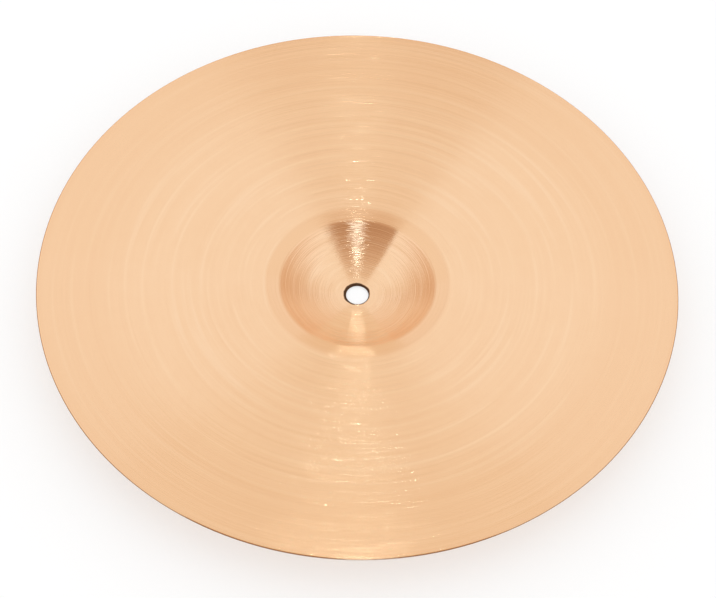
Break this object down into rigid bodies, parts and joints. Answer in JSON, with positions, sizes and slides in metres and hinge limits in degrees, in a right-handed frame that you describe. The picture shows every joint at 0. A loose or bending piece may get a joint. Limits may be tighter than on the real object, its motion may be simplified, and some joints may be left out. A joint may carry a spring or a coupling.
{
  "type": "hi-hat cymbal",
  "caption": "Round turned bronze hi-hat cymbal with a domed bell, a shallow bow, a thin rim and a central rod hole, lying bell down with its hollow side up.",
  "frame": {"origin": "on the axis, level with the outer face of the bell's crown, where the seat or the floor carries the cymbal", "axes": "+Z along the axis, out of the hollow side; X and Y are alike, because the plate is round"},
  "size_m": [0.3556, 0.3556, 0.0253],
  "materials": {
    "turned_bronze": "lathe-turned bronze with fine concentric grooves, bright and bare"
  },
  "bodies": {
    "root": {"cymbal": "turned_bronze"}
  },
  "joints": []
}
